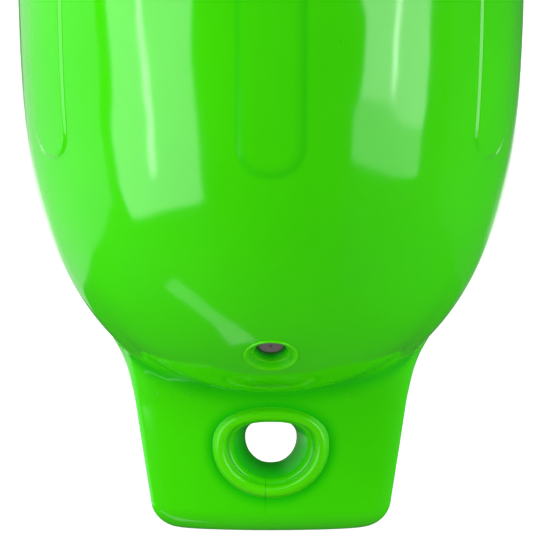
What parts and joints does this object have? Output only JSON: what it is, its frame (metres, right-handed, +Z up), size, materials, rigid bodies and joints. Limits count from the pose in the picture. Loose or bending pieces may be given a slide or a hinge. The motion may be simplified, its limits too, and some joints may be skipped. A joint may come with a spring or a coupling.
{
  "type": "inflatable ribbed fender buoy",
  "caption": "Inflatable vinyl fender buoy: a ribbed round body with domed ends, a flat tab with a funnel rope eye at each end, and a recessed needle valve",
  "frame": {"origin": "middle of the upper rope eye's throat, where the line that it hangs by passes", "axes": "+Z up along the body, +Y through the rope eyes from front to back, +X to the right; the valve is at the lower front"},
  "size_m": [0.165, 0.1662, 0.559],
  "materials": {
    "vinyl": "glossy lime-green moulded vinyl",
    "rubber": "matt grey-brown rubber"
  },
  "bodies": {
    "root": {"body": "vinyl", "lower_eye_bushing": "vinyl", "upper_eye_bushing": "vinyl", "valve_seat": "vinyl", "valve_core": "rubber"}
  },
  "joints": []
}
